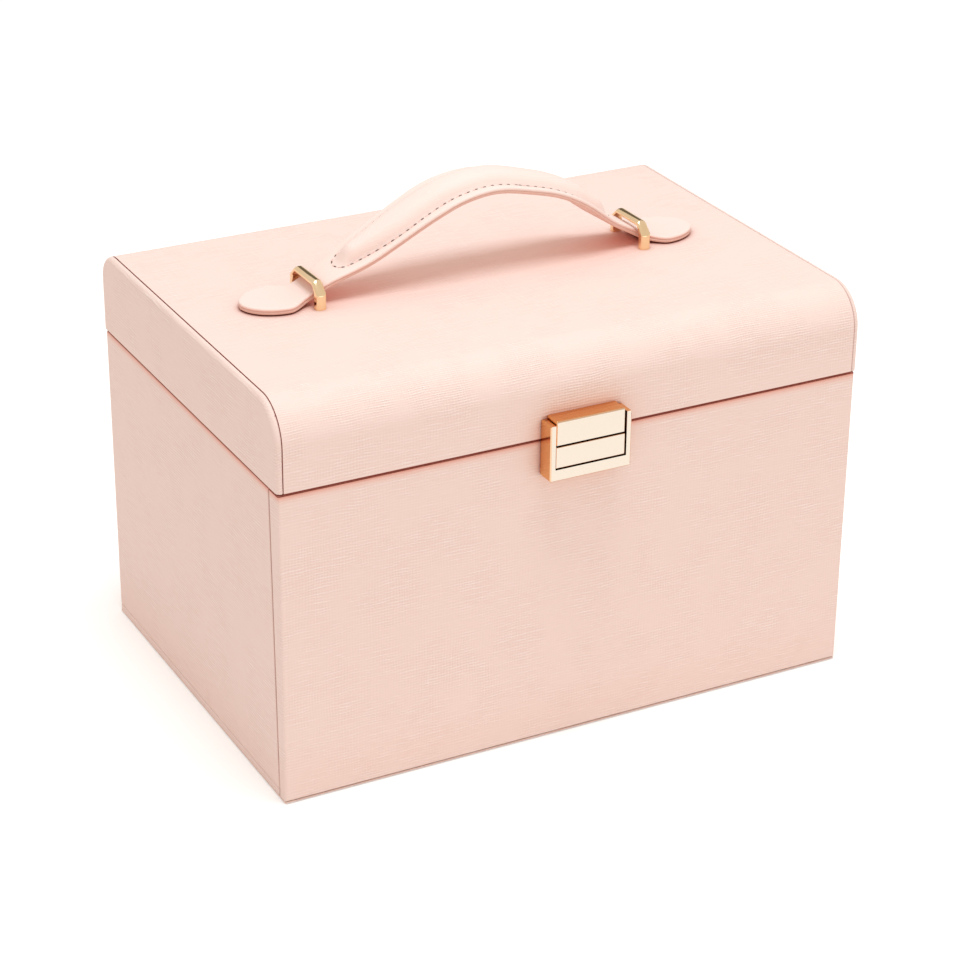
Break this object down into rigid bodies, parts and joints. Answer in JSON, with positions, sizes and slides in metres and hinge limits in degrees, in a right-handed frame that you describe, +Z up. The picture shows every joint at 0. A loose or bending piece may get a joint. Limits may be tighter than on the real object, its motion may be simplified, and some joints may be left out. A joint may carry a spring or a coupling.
{
  "type": "drawer jewellery box with handle",
  "caption": "Leatherette jewellery box with a mirrored lid, a strap handle on metal loops, a push lock, a fold-down front flap, sliding drawers, a top tray and a lower bay.",
  "frame": {"origin": "middle of the underside, on the surface that the box stands on", "axes": "+X to the right as seen from the front, +Y to the back, +Z up"},
  "size_m": [0.2612, 0.1943, 0.2162],
  "materials": {
    "leather": "linen-grain leatherette, satin",
    "strap_leather": "smooth leatherette, satin",
    "gold": "polished pale gold plate",
    "suede": "short pile suede",
    "cushion": "padded suede",
    "mirror": "silvered glass",
    "magnet": "nickel plate",
    "steel": "plated steel"
  },
  "bodies": {
    "case": {"back_wall": "leather", "base_board": "leather", "base_sheet": "leather", "bay_divider_left": "suede", "bay_divider_right": "suede", "bay_front_rail": "leather", "bay_lining": "suede", "case_magnets": "magnet", "drawer_partition": "suede", "hinge_leaf_case_left": "gold", "hinge_leaf_case_right": "gold", "hinge_pin_left": "gold", "hinge_pin_right": "gold", "left_wall": "leather", "right_wall": "leather", "ring_roll_1": "cushion", "ring_roll_2": "cushion", "ring_roll_3": "cushion", "ring_roll_4": "cushion", "ring_roll_5": "cushion", "ring_roll_6": "cushion", "ring_roll_7": "cushion", "shelf_board": "suede", "tray_dividers": "suede", "tray_floor": "suede", "tray_frame": "suede"},
    "lid": {"handle_loop_left": "gold", "handle_loop_right": "gold", "hinge_leaf_lid_left": "gold", "hinge_leaf_lid_right": "gold", "lid_cover": "leather", "lid_left_side": "leather", "lid_lining": "suede", "lid_right_side": "leather", "lock_strike": "gold", "loop_screws": "steel", "mirror_frame": "leather", "mirror_glass": "mirror"},
    "flap": {"flap_board": "leather", "flap_lining": "suede", "flap_magnets": "magnet", "lock_frame": "gold", "lock_screws": "steel", "lock_springs": "steel"},
    "lock_button": {"lock_button": "gold"},
    "drawer_left": {"drawer_left_box": "suede", "drawer_left_dividers": "suede", "drawer_left_front": "leather", "drawer_left_pull": "gold"},
    "drawer_right": {"drawer_right_box": "suede", "drawer_right_dividers": "suede", "drawer_right_front": "leather", "drawer_right_pull": "gold"},
    "handle_grip": {"handle_grip": "strap_leather"},
    "handle_left_arm": {"handle_left_arm": "strap_leather"},
    "handle_left_tab": {"handle_left_tab": "strap_leather"},
    "handle_right_arm": {"handle_right_arm": "strap_leather"},
    "handle_right_tab": {"handle_right_tab": "strap_leather"}
  },
  "joints": [
    {"name": "lid_hinge", "type": "hinge", "parent": "case", "child": "lid", "pos_m": [0, 0.0931, 0.136], "axis": [-1, 0, 0], "range_deg": [0, 100]},
    {"name": "flap_hinge", "type": "hinge", "parent": "case", "child": "flap", "pos_m": [0, -0.09, 0], "axis": [1, 0, 0], "range_deg": [0, 85.5]},
    {"name": "lock_press", "type": "slide", "parent": "flap", "child": "lock_button", "axis": [0, 1, 0], "range_m": [0, 0.0016], "stiffness_N_per_m": 300, "springref_m": -0.001, "deforming": ["lock_springs"]},
    {"name": "drawer_left_slide", "type": "slide", "parent": "case", "child": "drawer_left", "axis": [0, -1, 0], "range_m": [0, 0.0992]},
    {"name": "drawer_right_slide", "type": "slide", "parent": "case", "child": "drawer_right", "axis": [0, -1, 0], "range_m": [0, 0.0992]},
    {"name": "handle_press", "type": "slide", "parent": "lid", "child": "handle_grip", "axis": [0, 0, -1], "range_m": [0, 0.014], "stiffness_N_per_m": 150, "springref_m": -0.004},
    {"name": "left_arm_fold", "type": "hinge", "parent": "handle_grip", "child": "handle_left_arm", "pos_m": [-0.01913, 0.002, 0.20351], "axis": [0, 1, 0], "range_deg": [0, 14.65]},
    {"name": "left_tab_fold", "type": "hinge", "parent": "handle_left_arm", "child": "handle_left_tab", "pos_m": [-0.072, 0.002, 0.1786], "axis": [0, 1, 0], "range_deg": [-14.65, 0]},
    {"name": "right_arm_fold", "type": "hinge", "parent": "handle_grip", "child": "handle_right_arm", "pos_m": [0.04925, 0.002, 0.19611], "axis": [0, 1, 0], "range_deg": [-31.25, 0]},
    {"name": "right_tab_fold", "type": "hinge", "parent": "handle_right_arm", "child": "handle_right_tab", "pos_m": [0.072, 0.002, 0.1786], "axis": [0, 1, 0], "range_deg": [0, 31.25]}
  ],
  "couplings": [
    {"joint": "drawer_left_slide", "follows": "flap_hinge", "m_per_rad": 0.066},
    {"joint": "drawer_right_slide", "follows": "flap_hinge", "m_per_rad": 0.066},
    {"joint": "left_arm_fold", "follows": "handle_press", "rad_per_m": 18.2},
    {"joint": "left_tab_fold", "follows": "handle_press", "rad_per_m": -18.2},
    {"joint": "right_arm_fold", "follows": "handle_press", "rad_per_m": -38.9},
    {"joint": "right_tab_fold", "follows": "handle_press", "rad_per_m": 38.9}
  ]
}
